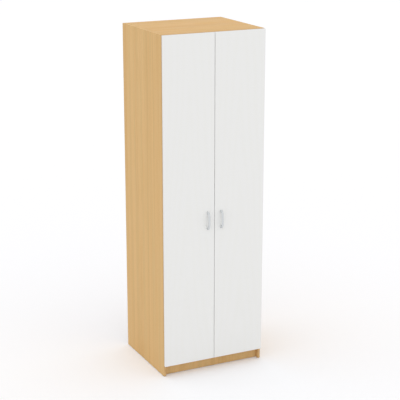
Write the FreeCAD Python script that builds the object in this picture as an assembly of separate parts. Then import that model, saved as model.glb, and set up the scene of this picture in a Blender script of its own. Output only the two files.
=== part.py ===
import FreeCAD, Part
import math
import os

# Two-door flat-pack wardrobe: melamine-faced board carcass, two overlay doors on concealed hinges,
# a hat shelf, a hanging rail and a recessed plinth.
#
# Frame, in millimetres: +Z up, the doors face -Y, X runs across the width.
# Origin: on the floor, at the centre of the outer box that holds the handles too.
#
# Plan places inside the carcass are given as (u, v): u is measured inwards from the outer face of
# the left side panel, v rearwards from the front edge of the side panels.

# ---- Overall sizes
height = 2200.0
width = 700.0
carcass_depth = 600.0

# ---- Boards
board = 16.0
door_board = 16.0
back_board = 3.0
edging = 1.0
edging_round = 0.6

# ---- Doors
door_gap = 2.0
side_reveal = 2.0
top_reveal = 2.0
middle_gap = 3.0
bottom_reveal = 5.0

# ---- Inside of the carcass
bottom_height = 70.0
plinth_recess = 27.0
shelf_height = 1800.0
shelf_setback = 20.0
back_inset = 1.0

# ---- Floor glides: a disc with a nail
glide_height = 3.0
glide_radius = 7.0
glide_nail_radius = 1.2
glide_nail_length = 14.0
glide_inset = 40.0

# ---- Cam joints: a bolt in the side panel, a turning lock in the crosswise board
cam_inset = 50.0
cam_reach = 34.0
cam_radius = 7.5
cam_past_bolt = 4.5
cam_slot = 7.0
cam_cross_length = 9.0
cam_cross_width = 1.6
cam_cross_depth = 2.0
bolt_thread_radius = 2.5
bolt_thread_length = 11.0
bolt_stem_radius = 3.0
bolt_stem_length = 25.0
bolt_neck_radius = 1.8
bolt_head_length = 3.0
bolt_hole_radius = 3.5

# ---- Wooden dowels
dowel_radius = 4.0
dowel_length = 30.0
dowel_in_side = 10.0
dowel_offset = 32.0
plinth_dowel_inset = 16.0
plinth_dowel_clearance = 2.0

# ---- Plinth corner blocks
block_width = 30.0
block_size = 20.0
block_offset = 150.0
block_screw_radius = 2.0
block_screw_head_radius = 3.6
block_screw_head = 2.0
block_screw_bite = 11.0

# ---- Nails that hold the back panel
nail_radius = 0.8
nail_length = 24.0
nail_head_radius = 1.8
nail_head = 0.6
nail_pitch = 170.0
nail_end = 40.0

# ---- Hanging rail: an oval tube in two screwed sockets
rail_height = 30.0
rail_thick = 15.0
rail_wall = 1.2
rail_drop = 55.0
rail_setback = 285.0
rail_fit = 0.2
socket_base = 3.0
socket_wall = 2.0
socket_depth = 14.0
socket_rim = 4.0
socket_ear = 12.0
socket_screw_radius = 2.0
socket_screw_head_radius = 3.5
socket_screw_head = 1.8
socket_screw_bite = 12.0

# ---- Concealed hinges
hinge_count = 4
hinge_inset = 110.0
cup_radius = 17.5
cup_depth = 12.0
cup_wall = 0.8
cup_edge = 5.0
flange = 1.0
flange_rim = 1.3
flange_wing = 16.0
flange_half_height = 28.5
cup_screw_across = 9.5
cup_screw_up = 22.5
cup_screw_radius = 1.7
cup_screw_length = 12.0
cup_screw_head_radius = 3.4
cup_screw_head = 0.5
lug_width = 5.0
lug_depth = 4.8
lug_thick = 3.6
cup_pin_from_edge = 9.0
cup_pin_depth = 2.0
cup_pin_radius = 1.0
link_half_height = 5.3
link_thick = 2.0
link_dip = 1.6
link_bend = 3.5
link_drop = 4.4
link_eye_radius = 2.0
link_arm_eye_radius = 2.7
pin_clearance = 0.05
side_clearance = 0.4
arm_pin_from_side = 12.0
arm_pin_setback = 3.0
arm_pin_radius = 1.25
arm_ear_radius = 3.2
arm_wall = 2.0
arm_top = 17.0
arm_start = 8.0
arm_end = 62.0
arm_screw_setback = 48.0
arm_screw_radius = 2.0
arm_screw_head_radius = 3.8
arm_screw_head = 2.0
arm_screw_bite = 5.0
plate_base = 3.0
plate_start = 22.0
plate_end = 70.0
plate_half_height = 9.0
plate_bar_height = 6.0
plate_bar_inset = 4.0
plate_wing = 2.0
plate_wing_setback = 37.0
plate_wing_half_depth = 6.0
plate_wing_half_height = 24.0
plate_screw_up = 16.0
plate_screw_radius = 2.5
plate_screw_bite = 10.0
plate_screw_head_radius = 4.0
plate_screw_head = 1.6

# ---- Bow handles
handle_pitch = 96.0
handle_foot_length = 25.0
handle_reach = 26.0
handle_width = 14.0
handle_thick = 5.5
handle_foot = 3.0
handle_round = 1.4
handle_from_edge = 45.5
handle_height = 1014.5
handle_screw_radius = 2.0
handle_screw_clearance = 0.25
handle_screw_bite = 6.5
handle_screw_head_radius = 4.0
handle_screw_head = 1.8

# ---- Door bumpers
bumper_radius = 4.0
bumper_from_edge = 20.0

# ---- Places worked out from the sizes above
total_depth = handle_reach + door_board + door_gap + carcass_depth
front = -total_depth / 2 + handle_reach + door_board + door_gap
rear = front + carcass_depth
panel_front = front + edging
panel_rear = rear - back_board
half_width = width / 2
inner_half = half_width - board
door_rear = front - door_gap
door_front = door_rear - door_board
door_bottom = bottom_height + bottom_reveal
door_top = height - top_reveal
bottom_top = bottom_height + board
top_under = height - board
plinth_front = front + plinth_recess
plinth_rear = plinth_front + board
rail_centre = shelf_height - rail_drop
hinge_first = door_bottom + hinge_inset
hinge_step = (door_top - door_bottom - 2 * hinge_inset) / (hinge_count - 1)
hinge_heights = [hinge_first + i * hinge_step for i in range(hinge_count)]
cup_u = side_reveal + cup_edge + cup_radius
cup_pin_u = side_reveal + cup_pin_from_edge
cup_pin_v = -door_gap - cup_pin_depth
arm_pin_u = board + arm_pin_from_side
arm_inner = link_half_height + side_clearance
cam_depth = board / 2 + cam_past_bolt
handle_length = handle_pitch + handle_foot_length

# A length that only tells apart edges that lie in different places.
tiny = 0.01

X_AXIS = FreeCAD.Vector(1, 0, 0)
Y_AXIS = FreeCAD.Vector(0, 1, 0)
Z_AXIS = FreeCAD.Vector(0, 0, 1)


def box(x0, x1, y0, y1, z0, z1):
    """A box between two values on each axis."""
    corner = FreeCAD.Vector(x0, y0, z0)
    return Part.makeBox(x1 - x0, y1 - y0, z1 - z0, corner)


def rod(x, y, z, axis, radius, length):
    """A cylinder that starts at a point and runs along axis; a negative length runs back."""
    direction = axis if length > 0 else axis.negative()
    return Part.makeCylinder(radius, abs(length), FreeCAD.Vector(x, y, z), direction)


def fuse(shapes):
    """One solid from shapes that meet."""
    return shapes[0].multiFuse(shapes[1:]).removeSplitter()


def cut(shape, tools):
    """A shape with the tools taken out of it."""
    return shape.cut(tools) if tools else shape


def mirrored(shape):
    """The same shape on the other side of the wardrobe."""
    return shape.mirror(FreeCAD.Vector(0, 0, 0), X_AXIS)


def both_sides(shapes):
    """The shapes of the left side, then those of the right."""
    return list(shapes) + [mirrored(shape) for shape in shapes]


def plan(u, v):
    """The x and y of a plan place inside the carcass, on the left."""
    return -half_width + u, front + v


def plan_box(u0, u1, v0, v1, z0, z1):
    """A box given in plan places."""
    x0, y0 = plan(u0, v0)
    x1, y1 = plan(u1, v1)
    return box(x0, x1, y0, y1, z0, z1)


def upright(u, v, z, radius, half_height):
    """An upright cylinder about a height, in plan places."""
    x, y = plan(u, v)
    return rod(x, y, z - half_height, Z_AXIS, radius, 2 * half_height)


def save(name, shapes):
    """Writes a node as one STEP file, a group of separate solids where it has several."""
    solids = [solid for shape in shapes for solid in shape.Solids]
    shape = solids[0] if len(solids) == 1 else Part.makeCompound(solids)
    shape.exportStep("parts/" + name + ".step")


# ---------------------------------------------------------------- joints between the boards
def crosswise_boards():
    """Height of the middle and front edge of each board between the sides."""
    return [
        (bottom_height + board / 2, panel_front),
        (shelf_height + board / 2, panel_front + shelf_setback),
        (height - board / 2, panel_front),
    ]


def cam_places():
    """The y and z of each cam joint on one side."""
    return [(y, z) for z, start in crosswise_boards() for y in (start + cam_inset, panel_rear - cam_inset)]


def dowel_places():
    """The y and z of each dowel on one side, beside the cams and in the plinth's ends."""
    places = []
    for z, start in crosswise_boards():
        places.append((start + cam_inset + dowel_offset, z))
        places.append((panel_rear - cam_inset - dowel_offset, z))
    plinth_middle = (plinth_front + plinth_rear) / 2
    over_nail = glide_height + glide_nail_length + plinth_dowel_clearance + dowel_radius
    places.append((plinth_middle, over_nail))
    places.append((plinth_middle, bottom_height - plinth_dowel_inset))
    return places


def cam_bolt(y, z):
    """Bolt on the left: thread in the side, stem, neck, and a head that the cam pulls on."""
    neck_end = cam_reach - bolt_head_length / 2
    thread = rod(-inner_half, y, z, X_AXIS, bolt_thread_radius, -bolt_thread_length)
    stem = rod(-inner_half, y, z, X_AXIS, bolt_stem_radius, bolt_stem_length)
    neck = rod(-inner_half, y, z, X_AXIS, bolt_neck_radius, neck_end)
    head = rod(-inner_half + neck_end, y, z, X_AXIS, bolt_stem_radius, bolt_head_length)
    return fuse([thread, stem, neck, head])


def cam_lock(y, z):
    """Turning lock on the left, bored in from the underside of its board."""
    x = -inner_half + cam_reach
    under = z - board / 2
    body = rod(x, y, under, Z_AXIS, cam_radius, cam_depth)
    past_head = bolt_head_length
    half = cam_slot / 2
    slot = box(x - cam_radius, x + past_head, y - half, y + half, z - half, z + half)
    half_long = cam_cross_length / 2
    half_wide = cam_cross_width / 2
    top = under + cam_cross_depth
    along = box(x - half_long, x + half_long, y - half_wide, y + half_wide, under, top)
    across = box(x - half_wide, x + half_wide, y - half_long, y + half_long, under, top)
    return cut(body, [slot, along, across])


def cam_bore(y, z):
    """Round pocket for the lock and the hole for its bolt, in the crosswise board on the left."""
    x = -inner_half + cam_reach
    pocket = rod(x, y, z - board / 2, Z_AXIS, cam_radius, cam_depth)
    hole = rod(-inner_half, y, z, X_AXIS, bolt_hole_radius, cam_reach)
    return fuse([pocket, hole])


def dowel(y, z):
    """Wooden pin, part in the side and part in the end of the crosswise board."""
    return rod(-inner_half - dowel_in_side, y, z, X_AXIS, dowel_radius, dowel_length)


def nail_places():
    """The x and z of each nail through the back panel."""
    side_x = half_width - board / 2
    low = bottom_height + nail_end
    high = height - nail_end
    rows = math.ceil((high - low) / nail_pitch)
    uprights = [low + i * (high - low) / rows for i in range(rows + 1)]
    places = [(side * side_x, z) for side in (-1, 1) for z in uprights]
    end = inner_half - nail_end
    columns = math.ceil(2 * end / nail_pitch)
    across = [-end + i * 2 * end / columns for i in range(columns + 1)]
    places += [(x, z) for z, start in crosswise_boards() for x in across]
    return places


def nail(x, z):
    """Nail with a flat head, flush with the outside of the back panel."""
    shank = rod(x, rear, z, Y_AXIS, nail_radius, -nail_length)
    head = rod(x, rear, z, Y_AXIS, nail_head_radius, -nail_head)
    return fuse([shank, head])


def floor_glide(y):
    """Disc under the left side panel, with its nail in the board."""
    x = -half_width + board / 2
    disc = rod(x, y, 0, Z_AXIS, glide_radius, glide_height)
    pin = rod(x, y, glide_height, Z_AXIS, glide_nail_radius, glide_nail_length)
    return fuse([disc, pin])


# ---------------------------------------------------------------- hinges
def hinge_plate(z):
    """Cross-shaped plate on the inside of the side, with a raised bar for the arm."""
    base_top = board + plate_base
    bar_half = arm_inner - side_clearance / 2
    base = plan_box(board, base_top, plate_start, plate_end, z - plate_half_height, z + plate_half_height)
    bar = plan_box(base_top, base_top + plate_bar_height, plate_start + plate_bar_inset,
                   plate_end - plate_bar_inset, z - bar_half, z + bar_half)
    wing = plan_box(board, board + plate_wing, plate_wing_setback - plate_wing_half_depth,
                    plate_wing_setback + plate_wing_half_depth,
                    z - plate_wing_half_height, z + plate_wing_half_height)
    holes = [hinge_plate_screw(z + side * plate_screw_up) for side in (-1, 1)]
    return cut(fuse([base, bar, wing]), holes + [arm_screw_shank(z)])


def hinge_plate_screw(z):
    """Screw through a wing of the plate into the side."""
    x, y = plan(board + plate_wing, plate_wing_setback)
    shank = rod(x, y, z, X_AXIS, plate_screw_radius, -plate_wing - plate_screw_bite)
    head = rod(x, y, z, X_AXIS, plate_screw_head_radius, plate_screw_head)
    return fuse([shank, head])


def arm_screw_shank(z):
    """Shank of the screw that holds an arm on its plate."""
    x, y = plan(board + arm_top, arm_screw_setback)
    bar_top = plate_base + plate_bar_height
    return rod(x, y, z, X_AXIS, arm_screw_radius, -(arm_top - bar_top + arm_screw_bite))


def hinge_arm_screw(z):
    """Screw on top of the arm, down into the bar of the plate."""
    x, y = plan(board + arm_top, arm_screw_setback)
    head = rod(x, y, z, X_AXIS, arm_screw_head_radius, arm_screw_head)
    return fuse([head, arm_screw_shank(z)])


def hinge_arm(z):
    """Channel over the plate, with two ears at the front that hold the arm's pin."""
    foot = board + plate_base
    top = board + arm_top
    outer = arm_inner + arm_wall
    back = plan_box(top - arm_wall, top, arm_pin_setback, arm_end, z - outer, z + outer)
    walls = []
    for low, high in ((-outer, -arm_inner), (arm_inner, outer)):
        walls.append(plan_box(foot, top, arm_start, arm_end, z + low, z + high))
        walls.append(plan_box(arm_pin_u - arm_ear_radius, top, arm_pin_setback, arm_start, z + low, z + high))
        x, y = plan(arm_pin_u, arm_pin_setback)
        walls.append(rod(x, y, z + low, Z_AXIS, arm_ear_radius, high - low))
    return cut(fuse([back] + walls), [hinge_arm_pin(z), arm_screw_shank(z)])


def hinge_arm_pin(z):
    """Pin through both ears of the arm."""
    return upright(arm_pin_u, arm_pin_setback, z, arm_pin_radius, arm_inner + arm_wall)


def cup_pin(z):
    """Pin across the cup, in its two lugs."""
    far_side = cup_u - cup_pin_u + cup_pin_radius
    chord = math.sqrt((cup_radius - cup_wall) ** 2 - far_side ** 2)
    return upright(cup_pin_u, cup_pin_v, z, cup_pin_radius, chord)


def cup_screw(z):
    """Short screw through the flange into the door, its head just proud of the flange."""
    x, y = plan(cup_u + cup_screw_across, -door_gap + flange)
    shank = rod(x, y, z, Y_AXIS, cup_screw_radius, -cup_screw_length)
    head = rod(x, y, z, Y_AXIS, cup_screw_head_radius, cup_screw_head)
    return fuse([shank, head])


def cup_bore(z):
    """Round pocket in the door for a cup."""
    x, y = plan(cup_u, -door_gap)
    return rod(x, y, z, Y_AXIS, cup_radius, -cup_depth)


def hinge_cup(z):
    """Round pressed cup with a screwed flange, and two lugs inside that hold its pin."""
    x, y = plan(cup_u, -door_gap)
    disc = rod(x, y, z, Y_AXIS, cup_radius + flange_rim, flange)
    wing = plan_box(cup_u, cup_u + flange_wing, -door_gap, -door_gap + flange,
                    z - flange_half_height, z + flange_half_height)
    hollow = rod(x, y + flange, z, Y_AXIS, cup_radius - cup_wall, -(cup_depth - cup_wall + flange))
    shell = cut(fuse([cup_bore(z), disc, wing]), [hollow])
    lugs = []
    for low in (arm_inner, -arm_inner - lug_thick):
        block = plan_box(cup_pin_u - lug_width / 2 - cup_wall, cup_pin_u + lug_width / 2,
                         -door_gap - lug_depth, -door_gap, z + low, z + low + lug_thick)
        lugs.append(block.common(cup_bore(z)))
    holes = [cup_pin(z)] + [cup_screw(z + side * cup_screw_up) for side in (-1, 1)]
    return cut(fuse([shell] + lugs), holes)


def hinge_link(z):
    """Bent strap from the cup's pin to the arm's pin: it dips into the cup, then rises out of it.

    The dip lets the strap pass round the rim of the cup when the door is wide open.
    """
    reach = arm_pin_u - cup_pin_u
    rise = arm_pin_setback - cup_pin_v
    bends = [(0, 0), (link_bend, -link_dip), (reach / 2, -link_dip * 0.75),
             (reach - link_bend, rise - link_drop), (reach, rise)]
    points = [plan(cup_pin_u + du, cup_pin_v + dv) for du, dv in bends]
    base = z - link_half_height
    tall = 2 * link_half_height
    pieces = [rod(x, y, base, Z_AXIS, link_thick / 2, tall) for x, y in points]
    for (x0, y0), (x1, y1) in zip(points, points[1:]):
        run = math.hypot(x1 - x0, y1 - y0)
        strip = Part.makeBox(run, link_thick, tall, FreeCAD.Vector(0, -link_thick / 2, 0))
        strip.rotate(FreeCAD.Vector(0, 0, 0), Z_AXIS, math.degrees(math.atan2(y1 - y0, x1 - x0)))
        strip.translate(FreeCAD.Vector(x0, y0, base))
        pieces.append(strip)
    pieces.append(upright(cup_pin_u, cup_pin_v, z, link_eye_radius, link_half_height))
    pieces.append(upright(arm_pin_u, arm_pin_setback, z, link_arm_eye_radius, link_half_height))
    holes = [
        upright(cup_pin_u, cup_pin_v, z, cup_pin_radius + pin_clearance, link_half_height),
        upright(arm_pin_u, arm_pin_setback, z, arm_pin_radius + pin_clearance, link_half_height),
    ]
    return cut(fuse(pieces), holes)


# ---------------------------------------------------------------- doors and handles
def door_sides():
    """The x of the left door's outer and meeting edges."""
    return -half_width + side_reveal, -middle_gap / 2


def handle_x():
    """The x of the left handle's middle."""
    return -middle_gap / 2 - handle_from_edge


def handle_screw_hole(z, radius):
    """Hole through the left door for a handle screw."""
    return rod(handle_x(), door_rear, z, Y_AXIS, radius, -door_board)


def handle_screw(z):
    """Screw from the inside of the left door into a foot of the handle."""
    shank = rod(handle_x(), door_rear, z, Y_AXIS, handle_screw_radius, -door_board - handle_screw_bite)
    head = rod(handle_x(), door_rear, z, Y_AXIS, handle_screw_head_radius, handle_screw_head)
    return fuse([shank, head])


def handle_screw_heights():
    """Heights of the two handle screws."""
    return [handle_height + side * handle_pitch / 2 for side in (-1, 1)]


def arch(half_length, reach, foot):
    """Body under an arc that stands on the door's face, its ends a foot's height off the face."""
    x = handle_x() - handle_width
    bottom, top = handle_height - half_length, handle_height + half_length
    low = FreeCAD.Vector(x, door_front - foot, bottom)
    middle = FreeCAD.Vector(x, door_front - reach, handle_height)
    high = FreeCAD.Vector(x, door_front - foot, top)
    corners = [high, FreeCAD.Vector(x, door_front, top), FreeCAD.Vector(x, door_front, bottom), low]
    sides = [Part.LineSegment(a, b).toShape() for a, b in zip(corners, corners[1:]) if a.distanceToPoint(b) > 0]
    outline = Part.Wire([Part.Arc(low, middle, high).toShape()] + sides)
    return Part.Face(outline).extrude(FreeCAD.Vector(2 * handle_width, 0, 0))


def bow_handle():
    """Left handle: an arched strap with round-ended feet, flat on the door."""
    under = arch(handle_length / 2 - handle_foot_length, handle_reach - handle_thick, 0)
    strap = arch(handle_length / 2, handle_reach, handle_foot).cut(under)
    half = handle_width / 2
    straight = handle_length / 2 - half
    top = door_front - handle_reach
    outline = [box(handle_x() - half, handle_x() + half, top, door_front,
                   handle_height - straight, handle_height + straight)]
    for side in (-1, 1):
        outline.append(rod(handle_x(), top, handle_height + side * straight, Y_AXIS, half, handle_reach))
    body = strap.common(fuse(outline))
    off_door = [edge for edge in body.Edges if edge.BoundBox.YMin < door_front - tiny]
    rounded = body.makeFillet(handle_round, [edge for edge in off_door if edge.Length > handle_foot + tiny])
    return cut(rounded, [handle_screw(z) for z in handle_screw_heights()])


def edging_strip(x0, x1, y0, y1, z0, z1, outer):
    """Glued strip with its two long outer corners rounded; outer tests where an edge lies."""
    strip = box(x0, x1, y0, y1, z0, z1)
    long_side = max(x1 - x0, z1 - z0)
    edges = [edge for edge in strip.Edges if edge.Length > long_side - tiny and outer(edge.CenterOfMass)]
    return strip.makeFillet(edging_round, edges)


def front_edging(x0, x1, z0, z1, y):
    """Strip on the front edge of a carcass board, whose board starts at y."""
    return edging_strip(x0, x1, y - edging, y, z0, z1, lambda p: p.y < y - edging / 2)


def left_door_edging():
    """Four strips round the left door: two upright ones with the short ones between."""
    x0, x1 = door_sides()
    strips = [
        edging_strip(x0, x0 + edging, door_front, door_rear, door_bottom, door_top,
                     lambda p: p.x < x0 + edging / 2),
        edging_strip(x1 - edging, x1, door_front, door_rear, door_bottom, door_top,
                     lambda p: p.x > x1 - edging / 2),
        edging_strip(x0 + edging, x1 - edging, door_front, door_rear, door_bottom, door_bottom + edging,
                     lambda p: p.z < door_bottom + edging / 2),
        edging_strip(x0 + edging, x1 - edging, door_front, door_rear, door_top - edging, door_top,
                     lambda p: p.z > door_top - edging / 2),
    ]
    return strips


def left_door():
    """Door board with pockets for the cups and holes for the screws."""
    x0, x1 = door_sides()
    slab = box(x0 + edging, x1 - edging, door_front, door_rear, door_bottom + edging, door_top - edging)
    tools = [cup_bore(z) for z in hinge_heights]
    tools += [cup_screw(z + side * cup_screw_up) for z in hinge_heights for side in (-1, 1)]
    radius = handle_screw_radius + handle_screw_clearance
    tools += [handle_screw_hole(z, radius) for z in handle_screw_heights()]
    return cut(slab, tools)


def door_bumpers():
    """Two soft discs on the left door, in the middle of what it covers of the top and bottom boards."""
    x = -middle_gap / 2 - bumper_from_edge
    heights = ((door_bottom + bottom_top) / 2, (top_under + door_top) / 2)
    return [rod(x, door_rear, z, Y_AXIS, bumper_radius, door_gap) for z in heights]


# ---------------------------------------------------------------- rail and plinth fittings
def oval(x0, x1, tall, thick):
    """Oval bar along X at the rail's place, with round top and bottom."""
    y = front + rail_setback
    flat = tall - thick
    middle = box(x0, x1, y - thick / 2, y + thick / 2, rail_centre - flat / 2, rail_centre + flat / 2)
    ends = [rod(x0, y, rail_centre + side * flat / 2, X_AXIS, thick / 2, x1 - x0) for side in (-1, 1)]
    return fuse([middle] + ends)


def hanging_rail():
    """Oval tube between the two sockets."""
    end = inner_half - socket_base
    inside = rail_thick - 2 * rail_wall
    return oval(-end, end, rail_height, rail_thick).cut(oval(-end, end, rail_height - 2 * rail_wall, inside))


def socket_screw_heights():
    """Heights of the two screws of a rail socket."""
    up = rail_height / 2 + socket_wall + socket_rim
    return [rail_centre + side * up for side in (-1, 1)]


def socket_screw(z):
    """Screw through the base of the left rail socket into the side."""
    x = -inner_half + socket_base
    y = front + rail_setback
    shank = rod(x, y, z, X_AXIS, socket_screw_radius, -socket_base - socket_screw_bite)
    head = rod(x, y, z, X_AXIS, socket_screw_head_radius, socket_screw_head)
    return fuse([shank, head])


def rail_socket():
    """Left socket: a base on the side panel and an oval collar round the end of the rail."""
    grow = 2 * socket_wall + 2 * rail_fit
    x0 = -inner_half
    base = oval(x0, x0 + socket_base, rail_height + 2 * socket_ear + grow, rail_thick + grow)
    collar = oval(x0, x0 + socket_depth, rail_height + grow, rail_thick + grow)
    mouth = oval(x0 + socket_base, x0 + socket_depth, rail_height + 2 * rail_fit, rail_thick + 2 * rail_fit)
    return cut(fuse([base, collar]), [mouth] + [socket_screw(z) for z in socket_screw_heights()])


def block_screws(x):
    """Two screws of a corner block: one up into the bottom board, one forward into the plinth."""
    middle = block_size / 2
    y = plinth_rear + middle
    z = bottom_height - middle
    apart = block_width / 4
    start = bottom_height - block_size
    up = [rod(x - apart, y, start, Z_AXIS, block_screw_radius, block_size + block_screw_bite),
          rod(x - apart, y, start, Z_AXIS, block_screw_head_radius, block_screw_head)]
    start = plinth_rear + block_size
    ahead = [rod(x + apart, start, z, Y_AXIS, block_screw_radius, -block_size - block_screw_bite),
             rod(x + apart, start, z, Y_AXIS, block_screw_head_radius, -block_screw_head)]
    return [fuse(up), fuse(ahead)]


def plinth_block(x, screws):
    """Plastic corner block behind the plinth, under the bottom board."""
    half = block_width / 2
    block = box(x - half, x + half, plinth_rear, plinth_rear + block_size,
                bottom_height - block_size, bottom_height)
    return cut(block, screws)


# ---------------------------------------------------------------- the nodes
def build():
    """Makes every piece and writes one file per node."""
    os.makedirs("parts", exist_ok=True)

    bolts = both_sides([cam_bolt(y, z) for y, z in cam_places()])
    locks = both_sides([cam_lock(y, z) for y, z in cam_places()])
    bores = both_sides([cam_bore(y, z) for y, z in cam_places()])
    dowels = both_sides([dowel(y, z) for y, z in dowel_places()])
    nails = [nail(x, z) for x, z in nail_places()]
    glides = both_sides([floor_glide(y) for y in (front + glide_inset, rear - glide_inset)])
    block_xs = (-block_offset, block_offset)
    block_screw_sets = [block_screws(x) for x in block_xs]
    corner_screws = [screw for screws in block_screw_sets for screw in screws]
    rail_screws = both_sides([socket_screw(z) for z in socket_screw_heights()])
    plate_screws = both_sides([hinge_plate_screw(z + side * plate_screw_up)
                               for z in hinge_heights for side in (-1, 1)])

    # Fasteners that pass into a board leave their own shape in it.
    side_tools = bolts + dowels + nails + glides + rail_screws + plate_screws
    left_tools = [tool for tool in side_tools if tool.BoundBox.XMin < -inner_half]
    left_side = cut(box(-half_width, -inner_half, panel_front, panel_rear, glide_height, height), left_tools)
    save("left_side", [left_side])
    save("right_side", [mirrored(left_side)])
    left_strip = front_edging(-half_width, -inner_half, glide_height, height, panel_front)
    save("left_side_edging", [left_strip])
    save("right_side_edging", [mirrored(left_strip)])

    # The boards between the sides are cut by what reaches into their own thickness.
    board_tools = bores + dowels + nails + corner_screws
    levels = {"bottom": bottom_height, "shelf": shelf_height, "top": top_under}
    names = {"bottom": "bottom_panel", "shelf": "hat_shelf", "top": "top_panel"}
    for key, under in levels.items():
        start = panel_front + (shelf_setback if key == "shelf" else 0)
        near = [t for t in board_tools if t.BoundBox.ZMin < under + board and t.BoundBox.ZMax > under]
        slab = box(-inner_half, inner_half, start, panel_rear, under, under + board)
        save(names[key], [cut(slab, near)])
        save(key + "_edging", [front_edging(-inner_half, inner_half, under, under + board, start)])

    plinth = box(-inner_half, inner_half, plinth_front, plinth_rear, glide_height, bottom_height)
    save("plinth", [cut(plinth, dowels + corner_screws)])
    back = box(-half_width + back_inset, half_width - back_inset, panel_rear, rear,
               bottom_height, height - back_inset)
    save("back_panel", [cut(back, nails)])

    save("cam_bolts", bolts)
    save("cam_locks", locks)
    save("dowels", dowels)
    save("back_nails", nails)
    save("floor_glides", glides)
    save("plinth_blocks", [plinth_block(x, screws) for x, screws in zip(block_xs, block_screw_sets)])
    save("plinth_block_screws", corner_screws)
    save("hanging_rail", [hanging_rail()])
    save("rail_sockets", both_sides([rail_socket()]))
    save("rail_socket_screws", rail_screws)
    save("hinge_plates", both_sides([hinge_plate(z) for z in hinge_heights]))
    save("hinge_plate_screws", plate_screws)
    save("hinge_arms", both_sides([hinge_arm(z) for z in hinge_heights]))
    save("hinge_arm_screws", both_sides([hinge_arm_screw(z) for z in hinge_heights]))
    save("hinge_arm_pins", both_sides([hinge_arm_pin(z) for z in hinge_heights]))

    # Each piece of the left door has its mirror image on the right door.
    door_nodes = {
        "door": [left_door()],
        "door_edging": left_door_edging(),
        "handle": [bow_handle()],
        "handle_screws": [handle_screw(z) for z in handle_screw_heights()],
        "hinge_cups": [hinge_cup(z) for z in hinge_heights],
        "cup_screws": [cup_screw(z + side * cup_screw_up) for z in hinge_heights for side in (-1, 1)],
        "cup_pins": [cup_pin(z) for z in hinge_heights],
        "hinge_links": [hinge_link(z) for z in hinge_heights],
        "door_bumpers": door_bumpers(),
    }
    for name, shapes in door_nodes.items():
        save("left_" + name, shapes)
        save("right_" + name, [mirrored(shape) for shape in shapes])


build()
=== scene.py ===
import logging
import math
from dataclasses import dataclass
from enum import Enum
from typing import Dict, List, Optional, Sequence, Tuple

import bpy
import numpy as np
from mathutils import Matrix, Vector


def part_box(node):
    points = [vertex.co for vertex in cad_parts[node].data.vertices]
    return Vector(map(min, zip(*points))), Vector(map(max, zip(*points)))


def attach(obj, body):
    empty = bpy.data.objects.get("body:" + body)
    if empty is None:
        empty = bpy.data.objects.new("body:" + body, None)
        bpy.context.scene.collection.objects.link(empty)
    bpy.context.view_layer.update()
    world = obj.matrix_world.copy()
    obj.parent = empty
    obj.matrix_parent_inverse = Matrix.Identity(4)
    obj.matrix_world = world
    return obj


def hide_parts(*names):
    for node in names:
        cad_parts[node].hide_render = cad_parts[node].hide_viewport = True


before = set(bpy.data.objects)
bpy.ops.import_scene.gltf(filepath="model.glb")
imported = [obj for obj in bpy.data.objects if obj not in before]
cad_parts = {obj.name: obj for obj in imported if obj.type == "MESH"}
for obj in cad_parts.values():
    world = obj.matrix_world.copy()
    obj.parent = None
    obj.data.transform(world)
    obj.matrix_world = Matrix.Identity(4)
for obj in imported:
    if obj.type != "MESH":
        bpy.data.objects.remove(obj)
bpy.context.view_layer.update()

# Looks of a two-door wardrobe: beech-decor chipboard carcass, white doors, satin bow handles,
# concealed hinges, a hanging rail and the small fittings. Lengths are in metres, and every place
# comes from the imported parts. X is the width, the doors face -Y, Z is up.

MM = 0.001
SMOOTH = {"interpolation_type": "SMOOTHSTEP"}
# How deep below a board's face its paper gives way to chipboard: begins, and is bare.
PAPER = (0.15 * MM, 0.3 * MM)

log = logging.getLogger("wardrobe")

Box = Tuple[np.ndarray, np.ndarray]
Tree = bpy.types.NodeTree
Socket = bpy.types.NodeSocket


# ------------------------------------------------------------------ small tools
def linear(colour: str) -> Tuple[float, float, float, float]:
    """Turns an sRGB hex colour into the linear values that a shader takes.

    Args:
        colour: a colour such as "#d0ad7a".

    Returns:
        Linear red, green and blue, and an alpha of 1.
    """
    parts = [int(colour[i:i + 2], 16) / 255 for i in (1, 3, 5)]
    values = [c / 12.92 if c <= 0.04045 else ((c + 0.055) / 1.055) ** 2.4 for c in parts]
    return values[0], values[1], values[2], 1.0


def node_box(name: str) -> Box:
    """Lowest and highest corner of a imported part, as arrays.

    Args:
        name: the part's name.

    Returns:
        The two corners.
    """
    low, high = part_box(name)
    return np.array(low), np.array(high)


def add_node(tree: Tree, kind: str, *terms: object, named: Optional[Dict] = None,
             **settings: object) -> Socket:
    """Adds one shader node with its settings, its plain values and its links.

    Args:
        tree: the node tree.
        kind: Blender's name of the node, after "ShaderNode".
        *terms: a plain value or the output that feeds it, for each socket in use, in their order.
        named: the same for sockets that are given by name.
        **settings: the node's own properties.

    Returns:
        The first output in use; its node attribute leads to the others.
    """
    node = tree.nodes.new("ShaderNode" + kind)
    for name, value in settings.items():
        setattr(node, name, value)
    used = [socket for socket in node.inputs if socket.enabled]
    fed = list(zip(used, terms)) + [(node.inputs[name], value) for name, value in (named or {}).items()]
    for socket, value in fed:
        if isinstance(value, Socket):
            tree.links.new(value, socket)
        else:
            socket.default_value = value
    return next((socket for socket in node.outputs if socket.enabled), None)


def weigh(tree: Tree, *parts: Tuple[object, float]) -> Socket:
    """Sum of patterns, each times its own share.

    Args:
        tree: the material's node tree.
        *parts: pairs of a pattern's output and its share; a negative share takes it off.

    Returns:
        The sum.
    """
    total: object = 0.0
    for layer, share in parts:
        total = add_node(tree, "Math", layer, share, total, operation="MULTIPLY_ADD")
    return total


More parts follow.
